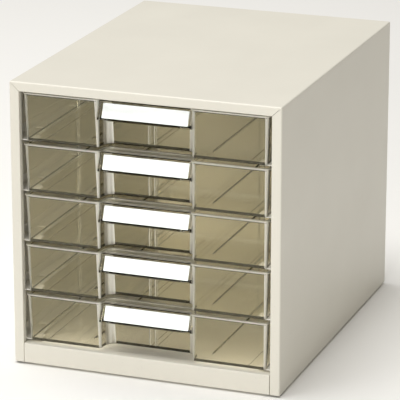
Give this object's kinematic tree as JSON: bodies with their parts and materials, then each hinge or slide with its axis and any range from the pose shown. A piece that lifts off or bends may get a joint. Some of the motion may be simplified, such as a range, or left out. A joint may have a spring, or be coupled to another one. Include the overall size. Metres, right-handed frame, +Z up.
{
  "type": "desktop drawer unit",
  "caption": "Painted steel desktop case for A4 paper with shallow smoky transparent drawers that slide out, each with a finger recess and a tilted label holder.",
  "frame": {"origin": "under the middle of the case, on the plane of the feet", "axes": "+Z up; the drawer fronts face -Y; +X is to the right of a person facing the fronts"},
  "size_m": [0.265, 0.34, 0.277],
  "materials": {
    "case_paint": "satin",
    "runner_steel": "satin",
    "smoky_plastic": "gloss",
    "clear_plastic": "gloss",
    "label_paper": "matte",
    "foot_rubber": "matte"
  },
  "bodies": {
    "cabinet": {"casing_shell": "case_paint", "back_panel": "case_paint", "floor_panel": "case_paint", "front_plinth": "case_paint", "left_runner_1": "runner_steel", "right_runner_1": "runner_steel", "left_runner_2": "runner_steel", "right_runner_2": "runner_steel", "left_runner_3": "runner_steel", "right_runner_3": "runner_steel", "left_runner_4": "runner_steel", "right_runner_4": "runner_steel", "left_runner_5": "runner_steel", "right_runner_5": "runner_steel", "left_top_guide": "runner_steel", "right_top_guide": "runner_steel", "foot_front_left": "foot_rubber", "foot_front_right": "foot_rubber", "foot_back_left": "foot_rubber", "foot_back_right": "foot_rubber"},
    "drawer_1": {"drawer_1_tray": "smoky_plastic", "drawer_1_label_card": "label_paper", "drawer_1_label_cover": "clear_plastic"},
    "drawer_2": {"drawer_2_tray": "smoky_plastic", "drawer_2_label_card": "label_paper", "drawer_2_label_cover": "clear_plastic"},
    "drawer_3": {"drawer_3_tray": "smoky_plastic", "drawer_3_label_card": "label_paper", "drawer_3_label_cover": "clear_plastic"},
    "drawer_4": {"drawer_4_tray": "smoky_plastic", "drawer_4_label_card": "label_paper", "drawer_4_label_cover": "clear_plastic"},
    "drawer_5": {"drawer_5_tray": "smoky_plastic", "drawer_5_label_card": "label_paper", "drawer_5_label_cover": "clear_plastic"}
  },
  "joints": [
    {"name": "drawer_1_slide", "type": "slide", "parent": "cabinet", "child": "drawer_1", "axis": [0, -1, 0], "range_m": [0, 0.25]},
    {"name": "drawer_2_slide", "type": "slide", "parent": "cabinet", "child": "drawer_2", "axis": [0, -1, 0], "range_m": [0, 0.25]},
    {"name": "drawer_3_slide", "type": "slide", "parent": "cabinet", "child": "drawer_3", "axis": [0, -1, 0], "range_m": [0, 0.25]},
    {"name": "drawer_4_slide", "type": "slide", "parent": "cabinet", "child": "drawer_4", "axis": [0, -1, 0], "range_m": [0, 0.25]},
    {"name": "drawer_5_slide", "type": "slide", "parent": "cabinet", "child": "drawer_5", "axis": [0, -1, 0], "range_m": [0, 0.25]}
  ]
}
